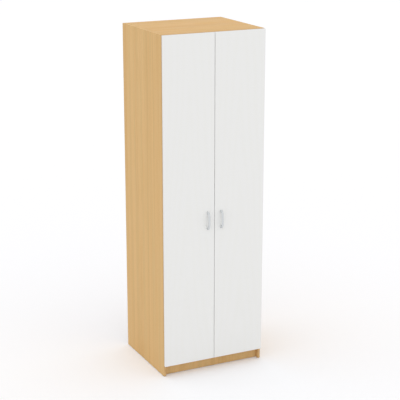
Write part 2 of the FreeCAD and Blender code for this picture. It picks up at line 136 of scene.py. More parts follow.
def pattern(tree: Tree, place: Socket, cell_mm: Sequence[float], detail: float = 2.0, roughness: float = 0.5,
            shift: float = 0.0, between: Sequence[float] = ()) -> Socket:
    """Soft random pattern whose cells have a real size on each axis.

    Args:
        tree: the material's node tree.
        place: the coordinates, in metres.
        cell_mm: the size of a cell along each axis, in millimetres.
        detail: how many finer layers it has.
        roughness: how strong the finer layers are.
        shift: moves the pattern, so that pieces and layers differ.
        between: the values that become 0 and 1, and after them what to put in place of 0 and 1.

    Returns:
        The pattern's value, about 0.5 on average unless between says otherwise.
    """
    scale = tuple(1.0 / (MM * size) for size in cell_mm)
    moved = add_node(tree, "Mapping", named={"Vector": place, "Location": (shift,) * 3, "Scale": scale})
    layers = {"Vector": moved, "Scale": 1.0, "Detail": detail, "Roughness": roughness}
    value = add_node(tree, "TexNoise", named=layers)
    return add_node(tree, "MapRange", value, *between, **SMOOTH) if between else value


def two_tones(tree: Tree, value: Socket, between: Tuple[float, float], first: str, second: str) -> Socket:
    """Colour that goes smoothly from one hex colour to another.

    Args:
        tree: the material's node tree.
        value: the pattern that leads it.
        between: the values of the pattern that give the first and the second colour.
        first: the first colour.
        second: the second colour.

    Returns:
        The colour.
    """
    share = add_node(tree, "MapRange", value, *between, **SMOOTH)
    return add_node(tree, "Mix", share, linear(first), linear(second), data_type="RGBA")


def laid_over(tree: Tree, below: Socket, where: Socket, most: float, colour: str) -> Socket:
    """Colour with another one laid over it in places.

    Args:
        tree: the material's node tree.
        below: the colour underneath.
        where: 1 where the other colour is strongest, 0 where it is absent.
        most: its strength there.
        colour: the other colour.

    Returns:
        The colour.
    """
    share = add_node(tree, "Math", where, most, operation="MULTIPLY")
    return add_node(tree, "Mix", share, below, linear(colour), data_type="RGBA")


def under_paper(tree: Tree, place: Socket, box: Box, axis: int) -> Socket:
    """Where a board is bare because the point lies below its two papered faces.

    Args:
        tree: the material's node tree.
        place: the coordinates, in metres.
        box: the board's two corners.
        axis: the axis across the papered faces.

    Returns:
        1 in the board's core, 0 on its paper.
    """
    level = add_node(tree, "SeparateXYZ", place).node.outputs[axis]
    above = add_node(tree, "Math", level, float(box[0][axis]), operation="SUBTRACT")
    below = add_node(tree, "Math", float(box[1][axis]), level, operation="SUBTRACT")
    inside = add_node(tree, "Math", above, below, operation="MINIMUM")
    return add_node(tree, "MapRange", inside, *PAPER, **SMOOTH)


class Along(Enum):
    """Which way the grain of a board runs: the axes across it, through it and along it."""

    SIDE_UPRIGHT = (1, 0, 2)
    FRONT_UPRIGHT = (0, 1, 2)
    FLAT_LENGTHWISE = (1, 2, 0)
    FRONT_LENGTHWISE = (2, 1, 0)


@dataclass
class Surface:
    """The start of a material: its tree, its shader and the place on the piece."""

    material: bpy.types.Material
    tree: Tree
    shader: bpy.types.Node
    place: Socket

    @classmethod
    def start(cls, name: str, metallic: float = 0.0, roughness: float = 0.5, ior: float = 1.5,
              gloss: float = 0.5) -> "Surface":
        """Makes an empty material with one shader on it.

        Args:
            name: the material's name.
            metallic: 1 for bare metal, 0 otherwise.
            roughness: the shader's plain roughness.
            ior: the refractive index.
            gloss: how much of the clear reflection shows; 0.5 is all of it.

        Returns:
            The surface, ready for patterns.
        """
        material = bpy.data.materials.new(name)
        material.use_nodes = True
        tree = material.node_tree
        tree.nodes.clear()
        plain = {"Metallic": metallic, "Roughness": roughness}
        if not metallic:
            plain.update({"IOR": ior, "Specular IOR Level": gloss})
        shader = add_node(tree, "BsdfPrincipled", named=plain)
        add_node(tree, "OutputMaterial", shader)
        return cls(material, tree, shader.node, add_node(tree, "TexCoord").node.outputs["Object"])

    def turned(self, along: Along) -> Socket:
        """The place as (across the grain, through the board, along the grain)."""
        parts = add_node(self.tree, "SeparateXYZ", self.place).node.outputs
        return add_node(self.tree, "CombineXYZ", *(parts[axis] for axis in along.value))

    def feed(self, colour: Socket, roughness: Optional[Socket], height: Socket,
             depth_mm: float) -> bpy.types.Material:
        """Links the finished patterns to the shader.

        Args:
            colour: the base colour's output.
            roughness: the roughness's output, or None to keep the shader's plain one.
            height: the relief's output, from 0 to 1.
            depth_mm: the depth of the relief, in millimetres.

        Returns:
            The finished material.
        """
        relief = {"Height": height, "Distance": depth_mm * MM, "Strength": 1.0}
        bump = add_node(self.tree, "Bump", named=relief)
        for socket, value in (("Base Color", colour), ("Roughness", roughness), ("Normal", bump)):
            if value is not None:
                self.tree.links.new(value, self.shader.inputs[socket])
        return self.material

    def edge_nearness(self, box: Box, width_mm: float) -> Socket:
        """How near a point on a board's face is to one of the board's edges.

        On a face, one of the three distances to the box's sides is 0. The middle one of the three is
        then the distance to the nearest edge: their sum less the smallest and less the largest.

        Args:
            box: the board's two corners.
            width_mm: how far from the edge the result falls to 0.

        Returns:
            1 at the edge, 0 at width_mm from it.
        """
        tree = self.tree
        from_low = add_node(tree, "VectorMath", self.place, tuple(box[0]), operation="SUBTRACT")
        from_high = add_node(tree, "VectorMath", tuple(box[1]), self.place, operation="SUBTRACT")
        least = add_node(tree, "VectorMath", from_low, from_high, operation="MINIMUM")
        x, y, z = add_node(tree, "SeparateXYZ", least).node.outputs
        both = [add_node(tree, "Math", x, y, operation=how) for how in ("ADD", "MINIMUM", "MAXIMUM")]
        total = add_node(tree, "Math", both[0], z, operation="ADD")
        smallest = add_node(tree, "Math", both[1], z, operation="MINIMUM")
        largest = add_node(tree, "Math", both[2], z, operation="MAXIMUM")
        rest = add_node(tree, "Math", total, smallest, operation="SUBTRACT")
        middle = add_node(tree, "Math", rest, largest, operation="SUBTRACT")
        return add_node(tree, "MapRange", middle, width_mm * MM, 0.0, **SMOOTH)


# ------------------------------------------------------------------ finishes
@dataclass(frozen=True)
class Arches:
    """Arches of a printed figure, like those where a board is cut along the trunk.

    Args:
        middle_mm: how far their middle lies from the board's middle.
        step_mm: distance between two arches, across the board.
        slope: how steeply their sides run together.
        blunt: square of the radius that rounds their points, in square metres.
        sway: how far a slow bend carries them sideways, in metres.
        wobble: how uneven their lines are, in metres.
    """

    middle_mm: float = 60.0
    step_mm: float = 19.0
    slope: float = 0.05
    blunt: float = 0.00016
    sway: float = 0.20
    wobble: float = 0.016

    def wave(self, tree: Tree, place: Socket, centre: float, slow: Socket,
             uneven: Optional[Socket] = None) -> Tuple[Socket, Socket]:
        """Wave whose crests are the arches: the sine of |across| + slope * along, one turn a step.

        Args:
            tree: the material's node tree.
            place: (across, through, along), in metres.
            centre: the board's middle, across.
            slow: the slow pattern that bends them.
            uneven: the pattern that makes their lines uneven.

        Returns:
            The distance from the middle, rounded near it, and the wave, from -1 to 1.
        """
        across, _, along = add_node(tree, "SeparateXYZ", place).node.outputs
        off = add_node(tree, "Math", across, centre + self.middle_mm * MM, operation="SUBTRACT")
        lean = add_node(tree, "Math", slow, 0.5, operation="SUBTRACT")
        off = add_node(tree, "Math", lean, self.sway, off, operation="MULTIPLY_ADD")
        square = add_node(tree, "Math", off, off, self.blunt, operation="MULTIPLY_ADD")
        rounded = add_node(tree, "Math", square, operation="SQRT")
        level = add_node(tree, "Math", along, self.slope, rounded, operation="MULTIPLY_ADD")
        if uneven is not None:
            level = add_node(tree, "Math", uneven, self.wobble, level, operation="MULTIPLY_ADD")
        turns = add_node(tree, "Math", level, 2 * math.pi / (self.step_mm * MM), operation="MULTIPLY")
        return rounded, add_node(tree, "Math", turns, operation="SINE")


@dataclass(frozen=True)
class BeechBoard:
    """Chipboard faced with melamine paper printed as beech, pressed against a lightly grained plate.

    The eye sees a warm tan print of soft bands and pointed arches along the board, short dark rays,
    an even satin sheen, and bare chipboard where a face has no paper.

    Args:
        along: which way the grain runs.
        box: the board's two corners.
        skin_axis: the axis across the papered faces.
        shift: moves the print, so that no two boards look the same.
        chip_mm: size of a chip in the bare board.
        arches: the print's arches.
        lines_mm: where the print's darker lines lie across the board.
        line_sway: how far the slow bend carries those lines, in metres.
        line_half_mm: distance from a line's middle where it has faded out, and where it is full.
        edged_top: True where the upper end is covered too, and no chipboard shows there.
        worn_mm: how far wear reaches in from a corner.
    """

    along: Along
    box: Box
    skin_axis: int
    shift: float = 0.0
    pale: str = "#e1bb83"
    deep: str = "#d0a66d"
    cool: str = "#d6b57f"
    ray: str = "#b98d57"
    chip_pale: str = "#c8ad80"
    chip_dark: str = "#93734a"
    chip_mm: float = 2.2
    arches: Arches = Arches()
    lines_mm: Tuple[float, ...] = ()
    line_sway: float = 0.03
    line_half_mm: Tuple[float, float] = (14.4, 2.4)
    arch_share: float = 0.16
    band_share: float = 0.26
    strip_share: float = 0.30
    line_share: float = 0.17
    streak_share: float = 0.5
    edged_top: bool = False
    worn_mm: float = 1.6

    def figure(self, surface: Surface, place: Socket) -> Socket:
        """Printed figure of the wood, from 0, pale, to 1, deep.

        Arches lie in the heart of the board. Broad bands, narrower strips and fine streaks, all long
        along the grain, are laid over them, and so are the few darker lines of the print.

        Args:
            surface: the material being made.
            place: (across, through, along), in metres.

        Returns:
            The figure's output.
        """
        tree = surface.tree
        middle = (self.box[0] + self.box[1]) / 2
        slow = pattern(tree, place, (260, 260, 900), 1.0, 0.5, self.shift)
        uneven = pattern(tree, place, (14, 14, 160), 2.0, 0.5, self.shift + 3.1)
        rounded, wave = self.arches.wave(tree, place, float(middle[self.along.value[0]]), slow, uneven)
        rings = add_node(tree, "MapRange", wave, -0.2, 1.0, **SMOOTH)
        heart = add_node(tree, "MapRange", rounded, 0.17, 0.03, **SMOOTH)
        arches = add_node(tree, "Math", rings, heart, operation="MULTIPLY")
        bands = pattern(tree, place, (46, 46, 2600), 1.0, 0.5, self.shift + 7.7, (0.25, 0.75))
        strips = pattern(tree, place, (13, 13, 900), 2.0, 0.5, self.shift + 4.4, (0.5, 0.85))
        streaks = pattern(tree, place, (2.4, 2.4, 190), 3.0, 0.6, self.shift + 1.9)
        parts = [(arches, self.arch_share), (bands, self.band_share), (strips, self.strip_share)]
        across = add_node(tree, "SeparateXYZ", place)
        bent = add_node(tree, "Math", slow, self.line_sway, across, operation="MULTIPLY_ADD")
        for line in self.lines_mm:
            # The slow noise is about 0.5 on average, so half of the sway is taken off again.
            away = add_node(tree, "Math", bent, line * MM + self.line_sway / 2, operation="SUBTRACT")
            far = add_node(tree, "Math", away, operation="ABSOLUTE")
            dark = add_node(tree, "MapRange", far, *(half * MM for half in self.line_half_mm), **SMOOTH)
            parts.append((dark, self.line_share))
        return weigh(tree, *parts, (streaks, self.streak_share))

    def material(self, name: str) -> bpy.types.Material:
        """Makes the finish for one board.

        Args:
            name: the material's name.

        Returns:
            The material.
        """
        surface = Surface.start(name, roughness=0.5, ior=1.5, gloss=0.05)
        tree = surface.tree
        place = surface.turned(self.along)
        figure = self.figure(surface, place)
        printed = two_tones(tree, figure, (0.15, 1.0), self.pale, self.deep)

        # The print drifts between a warmer and a cooler tan from strip to strip.
        drift = pattern(tree, place, (24, 24, 1300), 2.0, 0.5, self.shift + 9.4, (0.45, 0.7))
        printed = laid_over(tree, printed, drift, 0.6, self.cool)

        # Beech rays: thin dashes where a pattern of cells 5 mm long and 0.9 mm wide peaks.
        dash = pattern(tree, place, (0.9, 0.9, 5.0), 1.0, 0.5, self.shift + 5.3, (0.64, 0.76))
        printed = laid_over(tree, printed, dash, 0.6, self.ray)

        # Corners rub a little paler over their last millimetre or two.
        rubbed = pattern(tree, place, (9, 9, 30), 2.0, between=(0.35, 0.7))
        near = surface.edge_nearness(self.box, self.worn_mm)
        worn = add_node(tree, "Math", near, rubbed, operation="MULTIPLY")
        printed = laid_over(tree, printed, worn, 0.35, self.pale)

        # Bare chipboard shows in the holes and on the edges that have no strip.
        bare = under_paper(tree, surface.place, self.box, self.skin_axis)
        if self.edged_top:
            height = add_node(tree, "SeparateXYZ", surface.place).node.outputs[2]
            top = float(self.box[1][2])
            lower = add_node(tree, "MapRange", height, top - 0.2 * MM, top - 0.4 * MM, **SMOOTH)
            bare = add_node(tree, "Math", bare, lower, operation="MULTIPLY")
        cells = {"Vector": surface.place, "Scale": 1 / (self.chip_mm * MM), "Randomness": 1.0}
        flakes = add_node(tree, "TexVoronoi", named=cells).node.outputs["Color"]
        flake = add_node(tree, "SeparateColor", flakes)
        chips = add_node(tree, "Mix", flake, linear(self.chip_pale), linear(self.chip_dark), data_type="RGBA")
        colour = add_node(tree, "Mix", bare, printed, chips, data_type="RGBA")

        cloud = pattern(tree, place, (70, 70, 220), 2.0, 0.5, self.shift + 2.2, (0.3, 0.7, 0.46, 0.56))
        rough = weigh(tree, (cloud, 1.0), (bare, 0.4))
        crumbs = add_node(tree, "Math", flake, bare, operation="MULTIPLY")
        relief = weigh(tree, (figure, 0.4), (dash, -0.6), (crumbs, 2.0))
        return surface.feed(colour, rough, relief, 0.03)


@dataclass(frozen=True)
class WhiteBoard:
    """Chipboard faced with white melamine paper that carries a barely visible ash figure.

    The eye sees a clean, slightly cool white with very faint long arches, a satin sheen, and a
    touch more gloss where hands reach for the handle.

    Args:
        box: the board's two corners.
        touch: the handle's middle.
        shift: moves the figure, so that the doors differ.
        arches: the figure's long arches.
        hand: distances from touch, in metres, where the polish ends and where it is full.
    """

    box: Box
    touch: np.ndarray
    shift: float = 0.0
    white: str = "#f4f4f2"
    shade: str = "#f3f3f0"
    chip: str = "#b99c70"
    arches: Arches = Arches(0.0, 45.0, 1 / 14, 0.0004, 0.12, 0.0)
    hand: Tuple[float, float] = (0.14, 0.03)

    def material(self, name: str) -> bpy.types.Material:
        """Makes the finish for one door.

        Args:
            name: the material's name.

        Returns:
            The material.
        """
        surface = Surface.start(name, roughness=0.4, ior=1.5, gloss=0.3)
        tree = surface.tree
        place = surface.turned(Along.FRONT_UPRIGHT)
        slow = pattern(tree, place, (240, 240, 900), 1.0, 0.5, self.shift)
        wave = self.arches.wave(tree, place, float(self.box[0][0] + self.box[1][0]) / 2, slow)[1]
        ring = add_node(tree, "MapRange", wave, -0.5, 1.0, **SMOOTH)
        streaks = pattern(tree, place, (3.0, 3.0, 170), 3.0, 0.6, self.shift + 4.0)
        figure = weigh(tree, (ring, 0.3), (streaks, 0.6))
        colour = two_tones(tree, figure, (0.1, 0.9), self.white, self.shade)

        # Bare board shows in the pockets and holes, below the front and rear skins.
        colour = laid_over(tree, colour, under_paper(tree, surface.place, self.box, 1), 1.0, self.chip)

        # Hands polish the face round the handle, out to a hand's breadth.
        apart = add_node(tree, "VectorMath", surface.place, tuple(self.touch), operation="DISTANCE")
        reach = add_node(tree, "MapRange", apart.node.outputs["Value"], *self.hand, **SMOOTH)
        patchy = pattern(tree, place, (22, 22, 40), 3.0, between=(0.35, 0.65))
        smear = add_node(tree, "Math", reach, patchy, operation="MULTIPLY")
        cloud = pattern(tree, place, (60, 60, 90), 2.0, between=(0.3, 0.7, 0.33, 0.40))
        rough = weigh(tree, (cloud, 1.0), (smear, -0.07))

        # The pressed face: a fine pebble, about 0.6 mm, with the streaks pressed in lightly.
        pebble = pattern(tree, place, (0.6, 0.6, 0.9), 1.0)
        return surface.feed(colour, rough, weigh(tree, (pebble, 0.65), (streaks, 0.35)), 0.01)


@dataclass(frozen=True)
class Hardboard:
    """Thin wet-pressed fibreboard, lacquered white on the inside and bare brown on the outside."""

    split_y: float
    white: str = "#eeeeea"
    grey: str = "#d8d8d2"
    pale: str = "#a67c52"
    dark: str = "#7d5836"

    def material(self, name: str) -> bpy.types.Material:
        """Makes the finish, white in front of split_y and brown behind it.

        Args:
            name: the material's name.

        Returns:
            The material.
        """
        surface = Surface.start(name, roughness=0.6, ior=1.5)
        tree = surface.tree
        y = add_node(tree, "SeparateXYZ", surface.place).node.outputs[1]
        behind = add_node(tree, "Math", y, self.split_y, operation="GREATER_THAN")
        # Felted fibres lie every way over a slow mottle. Real ones are far finer than 0.8 mm; they
        # are drawn this coarse so that they show.
        fibres = pattern(tree, surface.place, (0.8, 0.8, 1.4), 3.0, 0.65)
        mottle = pattern(tree, surface.place, (160, 160, 220), 4.0, 0.6)
        brown = two_tones(tree, weigh(tree, (mottle, 0.25), (fibres, 0.75)), (0.2, 0.8), self.pale, self.dark)
        dull = add_node(tree, "Math", mottle, 0.08, operation="MULTIPLY")
        lacquer = add_node(tree, "Mix", dull, linear(self.white), linear(self.grey), data_type="RGBA")
        colour = add_node(tree, "Mix", behind, lacquer, brown, data_type="RGBA")
        smooth = add_node(tree, "MapRange", mottle, 0.3, 0.7, 0.42, 0.52, **SMOOTH)
        return surface.feed(colour, weigh(tree, (smooth, 1.0), (behind, 0.25)), fibres, 0.03)


@dataclass(frozen=True)
class AbsEdging:
    """Extruded ABS strip, printed or dyed through, ironed on and scraped flush.

    The eye sees the board's own colour a little more even, with fine drawn lines along the strip.
    """

    along: Along
    light: str = "#dab37d"
    dark: str = "#cea56d"
    line_mm: float = 1.2

    def material(self, name: str) -> bpy.types.Material:
        """Makes the finish.

        Args:
            name: the material's name.

        Returns:
            The material.
        """
        surface = Surface.start(name, roughness=0.45, ior=1.54, gloss=0.25)
        tree = surface.tree
        place = surface.turned(self.along)
        lines = pattern(tree, place, (self.line_mm, self.line_mm, 240), 3.0, 0.6)
        patches = pattern(tree, place, (30, 30, 500), 1.0)
        mixed = weigh(tree, (patches, 0.4), (lines, 0.6))
        rough = add_node(tree, "MapRange", patches, 0.3, 0.7, 0.36, 0.46, **SMOOTH)
        return surface.feed(two_tones(tree, mixed, (0.3, 0.7), self.light, self.dark), rough, lines, 0.01)


@dataclass(frozen=True)
class Metal:
    """A bare or plated metal, with the fine lines or grain that its making leaves.

    Args:
        light: the metal's colour.
        dark: the colour in its lines and dull spots.
        roughness: how soft its reflections are.
        line_mm: size of a line on each axis, in millimetres; equal sizes give a cast or blasted grain.
        depth_mm: depth of the lines.
    """

    light: str
    dark: str
    roughness: float
    line_mm: Tuple[float, float, float]
    depth_mm: float = 0.004

    def material(self, name: str) -> bpy.types.Material:
        """Makes the finish.

        Args:
            name: the material's name.

        Returns:
            The material.
        """
        surface = Surface.start(name, metallic=1.0, roughness=self.roughness)
        tree = surface.tree
        lines = pattern(tree, surface.place, self.line_mm, 3.0, 0.6)
        dull = pattern(tree, surface.place, (7, 7, 9), 3.0)
        tone = weigh(tree, (dull, 0.4), (lines, 0.6))
        sheen = (self.roughness - 0.04, self.roughness + 0.05)
        rough = add_node(tree, "MapRange", tone, 0.3, 0.7, *sheen, **SMOOTH)
        colour = two_tones(tree, tone, (0.3, 0.72), self.light, self.dark)
        return surface.feed(colour, rough, lines, self.depth_mm)


# Zinc alloy, die cast, tumbled and plated satin: soft, pale and slightly cool.
SATIN_ZINC = Metal("#dcdfe0", "#d2d5d7", 0.5, (0.5, 0.5, 4.0), 0.006)
# Pressed steel with bright nickel: warm grey with sharp soft highlights.
NICKEL = Metal("#c9c6be", "#aba89f", 0.24, (0.6, 3.0, 0.6), 0.004)
# Turned steel with blue passivated zinc: cooler, duller, spotted.
ZINC = Metal("#c3c7cb", "#9a9ea3", 0.34, (0.7, 0.7, 0.7), 0.006)
# Drawn steel tube with decorative chrome: near mirror, faint draw lines along the tube.
CHROME = Metal("#d9dadc", "#cfd0d3", 0.09, (30.0, 0.5, 0.5), 0.001)


@dataclass(frozen=True)
class Moulding:
    """Injection-moulded plastic with the fine spark-eroded grain of its mould."""

    light: str = "#e4e4df"
    dark: str = "#d6d6d0"
    roughness: float = 0.45
    grain_mm: float = 0.35
    clearness: float = 0.0

    def material(self, name: str) -> bpy.types.Material:
        """Makes the finish.

        Args:
            name: the material's name.

        Returns:
            The material.
        """
        surface = Surface.start(name, roughness=self.roughness, ior=1.49)
        surface.shader.inputs["Transmission Weight"].default_value = self.clearness
        tree = surface.tree
        grain = pattern(tree, surface.place, (self.grain_mm,) * 3, 2.0)
        flow = pattern(tree, surface.place, (9, 9, 9), 2.0)
        sheen = (self.roughness - 0.05, self.roughness + 0.05)
        rough = add_node(tree, "MapRange", flow, 0.3, 0.7, *sheen, **SMOOTH)
        return surface.feed(two_tones(tree, flow, (0.3, 0.7), self.light, self.dark), rough, grain, 0.02)


@dataclass(frozen=True)
class TurnedBeech:
    """Solid beech, turned and fluted dowel stock, dry and unfinished."""

    pale: str = "#d9b98a"
    deep: str = "#b98f5c"

    def material(self, name: str) -> bpy.types.Material:
        """Makes the finish.

        Args:
            name: the material's name.

        Returns:
            The material.
        """
        surface = Surface.start(name, roughness=0.7, ior=1.5)
        tree = surface.tree
        streaks = pattern(tree, surface.turned(Along.FLAT_LENGTHWISE), (0.7, 0.7, 12), 3.0, 0.6)
        colour = two_tones(tree, streaks, (0.3, 0.7), self.pale, self.deep)
        return surface.feed(colour, None, streaks, 0.05)


# ------------------------------------------------------------------ meshes
def frame_of(axis: np.ndarray) -> np.ndarray:
    """Three unit vectors, the last one along axis, that turn the right-handed way.

    Args:
        axis: a vector along X, Y or Z, either way.

    Returns:
        A 3 by 3 array whose rows are the vectors.
    """
    last = axis / np.linalg.norm(axis)
    helper = np.roll(np.abs(last), 1)
    first = np.cross(helper, last)
    first /= np.linalg.norm(first)
    return np.array([first, np.cross(last, first), last])


def ring_quads(rings: int, around: int) -> np.ndarray:
    """Quads between neighbouring closed rings of points.

    Args:
        rings: how many rings there are.
        around: how many points a ring has.

    Returns:
        One row of four point numbers per quad.
    """
    row, column = np.meshgrid(np.arange(rings - 1), np.arange(around), indexing="ij")
    after = (column + 1) % around
    quads = np.stack([row * around + column, row * around + after,
                      (row + 1) * around + after, (row + 1) * around + column], axis=-1)
    return quads.reshape(-1, 4)


@dataclass
class Solid:
    """A closed mesh in the making: its points and its faces."""

    points: np.ndarray
    faces: List[Sequence[int]]

    @classmethod
    def tube(cls, rings: np.ndarray) -> "Solid":
        """Closed skin through rings of points, with a flat cap on the first ring and on the last.

        Args:
            rings: an array of (ring, point, xyz), each ring turning left about the way they go.

        Returns:
            The solid.
        """
        count, around = rings.shape[:2]
        faces = ring_quads(count, around).tolist()
        faces.append(list(range(around))[::-1])
        faces.append(list(range((count - 1) * around, count * around)))
        return cls(rings.reshape(-1, 3), faces)

    @classmethod
    def join(cls, solids: Sequence["Solid"]) -> "Solid":
        """Several solids in one mesh, still apart."""
        starts = np.cumsum([0] + [len(s.points) for s in solids[:-1]])
        faces = [[int(start) + i for i in face] for start, s in zip(starts, solids) for face in s.faces]
        return cls(np.concatenate([s.points for s in solids]), faces)

    def piece(self, name: str, material: bpy.types.Material, slot: str, body: str,
              replaces: Sequence[str], sharp_deg: float = 40.0) -> bpy.types.Object:
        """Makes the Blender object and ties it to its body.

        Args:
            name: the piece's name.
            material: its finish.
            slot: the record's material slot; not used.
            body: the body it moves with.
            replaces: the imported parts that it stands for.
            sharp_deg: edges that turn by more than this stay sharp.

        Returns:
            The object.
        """
        mesh = bpy.data.meshes.new(name)
        mesh.from_pydata(self.points.tolist(), [], self.faces)
        mesh.polygons.foreach_set("use_smooth", np.ones(len(mesh.polygons), dtype=bool))
        mesh.set_sharp_from_angle(angle=math.radians(sharp_deg))
        mesh.materials.append(material)
        mesh.update()
        item = bpy.data.objects.new(name, mesh)
        bpy.context.scene.collection.objects.link(item)
        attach(item, body)
        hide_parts(*replaces)
        log.info("%s: %d points, %d faces, rides on %s", name, len(self.points), len(self.faces), body)
        return item


def turned_solid(profile: Sequence[Tuple[float, float]], around: int, origin: np.ndarray, axis: np.ndarray,
                 recess: Optional["CrossRecess"] = None) -> Solid:
    """A turned shape: the profile's (radius, height) points carried round an axis.

    Point = origin + radius * (cos a, sin a) across the axis + height along it. The recess, if there
    is one, lowers the points of the head that lie in it.

    Args:
        profile: radius and height in metres, from the low end to the high end.
        around: points in a ring.
        origin: the place of height 0.
        axis: the way that height grows.
        recess: the drive recess in the head.

    Returns:
        The solid.
    """
    outline = np.array(profile)
    angle = np.arange(around) * 2 * np.pi / around
    flat = outline[:, :1] * np.stack([np.cos(angle), np.sin(angle)])[:, None, :].reshape(2, 1, -1)
    x, y = flat[0], flat[1]
    height = np.broadcast_to(outline[:, 1:], x.shape)
    if recess is not None:
        height = recess.lower(x, y, height)
    rings = np.stack([x, y, height], axis=-1) @ frame_of(axis) + origin
    return Solid.tube(rings)


@dataclass(frozen=True)
class CrossRecess:
    """Cross-shaped drive recess: two crossed slots that taper inwards from the head's top."""

    reach: float
    half_width: float
    depth: float
    above: float

    def lower(self, x: np.ndarray, y: np.ndarray, height: np.ndarray) -> np.ndarray:
        """Heights with the recess pressed in.

        Depth = full depth times how far the point is inside a slot's width and inside its length,
        each from 0 at the rim to 1 a third of the half width in.

        Args:
            x: places across the head.
            y: places across the head, the other way.
            height: heights of the points.

        Returns:
            The lowered heights; points below the head stay.
        """
        near = np.minimum(np.abs(x), np.abs(y))
        far = np.maximum(np.abs(x), np.abs(y))
        wide = np.clip((self.half_width - near) / (self.half_width / 3), 0, 1)
        long = np.clip((self.reach - far) / (self.reach / 3), 0, 1)
        return height - np.where(height > self.above, self.depth * wide * long, 0)


@dataclass(frozen=True)
class Screw:
    """Wood screw with a low domed head, a cross recess and ring-like thread crests.

    Args:
        head_radius: radius of the head.
        head_height: height of the head.
        shank_radius: radius over the thread's crests.
        shank_length: length below the head.
        crests: how many crests the thread shows.
        root: radius between two crests, as a share of the shank's.
        taper: how many steps from the tip the thread takes to reach its full radius.
        rim: height of the head's straight rim, as a share of the head's.
        dome_power: how flat the dome is in the middle.
        slot: reach and half width of the recess, as shares of the head's radius, and its depth, as
            a share of the head's height.
        around: points in a ring.
    """

    head_radius: float
    head_height: float
    shank_radius: float
    shank_length: float
    crests: int = 7
    root: float = 0.78
    taper: float = 3.0
    rim: float = 0.25
    dome_power: float = 2.5
    slot: Tuple[float, float, float] = (0.62, 0.17, 0.62)
    around: int = 32

    def solid(self, seat: np.ndarray, axis: np.ndarray) -> Solid:
        """Builds one screw.

        The head's profile is height * (1 - (r / R) ** dome_power) over a short rim. The thread's
        radius swings between the shank's and root times that, and the tip runs to a point.

        Args:
            seat: the middle of the head's underside.
            axis: the way the head faces.

        Returns:
            The screw.
        """
        steps = np.arange(1, 2 * self.crests)
        down = self.shank_length * (1 - steps / (2.0 * self.crests))
        thread = np.where(steps % 2, self.root, 1.0) * np.clip(steps / self.taper, 0.35, 1)
        tip = (0.02 * self.shank_radius, -self.shank_length)
        neck = (0.8 * self.shank_radius, -0.1 * MM)
        profile = [tip, *zip((self.shank_radius * thread).tolist(), (-down).tolist()), neck]
        # The rim bulges a little at half its height.
        wide, rim = self.head_radius, self.head_height * self.rim
        profile += [(wide * 0.97, 0.0), (wide, rim * 0.5), (wide * 0.985, rim)]
        share = np.linspace(0.93, 0.04, 14)
        dome = rim + (self.head_height - rim) * (1 - share ** self.dome_power)
        profile += list(zip((share * wide).tolist(), dome.tolist()))
        reach, half_width, depth = self.slot
        recess = CrossRecess(wide * reach, wide * half_width, self.head_height * depth, rim)
        return turned_solid(profile, self.around, seat, axis, recess)


def solid_boxes(node: str, gaps: Tuple[float, float, float]) -> List[Box]:
    """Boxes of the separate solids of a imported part, told apart by empty stretches along the axes.

    Args:
        node: the part's name.
        gaps: on each axis, an empty stretch longer than this parts two solids.

    Returns:
        The boxes, in the order of x, then y, then z.
    """
    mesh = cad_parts[node].data
    points = np.zeros(len(mesh.vertices) * 3)
    mesh.vertices.foreach_get("co", points)
    groups = [points.reshape(-1, 3)]
    for axis, gap in enumerate(gaps):
        parted = []
        for group in groups:
            ordered = group[np.argsort(group[:, axis])]
            cuts = np.nonzero(np.diff(ordered[:, axis]) > gap)[0] + 1
            parted += np.split(ordered, cuts)
        groups = parted
    return [(group.min(0), group.max(0)) for group in groups]


@dataclass(frozen=True)
class ScrewGroup:
    """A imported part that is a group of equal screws, with their heads towards the wardrobe's inside.

    Args:
        node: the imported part.
        head: height of a head.
        shank: radius of a shank.
        gaps: empty stretches that part two screws, as solid_boxes takes them.
        axis: the axis the screws lie along: 0 in the sides, 1 in the doors.
    """

    node: str
    head: float
    shank: float
    gaps: Tuple[float, float, float]
    axis: int = 0

    def build(self, name: str, material: bpy.types.Material, body: str) -> None:
        """Builds the screws as one piece.

        Args:
            name: the piece's name.
            material: their finish.
            body: the body they move with.
        """
        solids = []
        for low, high in solid_boxes(self.node, self.gaps):
            # In the doors and in the left side the heads face the positive end of the axis.
            way = 1.0 if self.axis == 1 or low[0] < 0 else -1.0
            face = (high if way > 0 else low)[self.axis]
            seat = (low + high) / 2
            seat[self.axis] = face - way * self.head
            length = (high - low)[self.axis] - self.head
            screw = Screw((high[2] - low[2]) / 2, self.head, self.shank, length)
            solids.append(screw.solid(seat, way * np.eye(3)[self.axis]))
        Solid.join(solids).piece(name, material, "zinc_steel", body, [self.node])


def dress(node: str, material: bpy.types.Material) -> None:
    """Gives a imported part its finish.

    Args:
        node: the part's name.
        material: the finish.
    """
    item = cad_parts[node]
    item.data.materials.clear()
    item.data.materials.append(material)
    log.info("%s: dressed in %s", node, material.name)


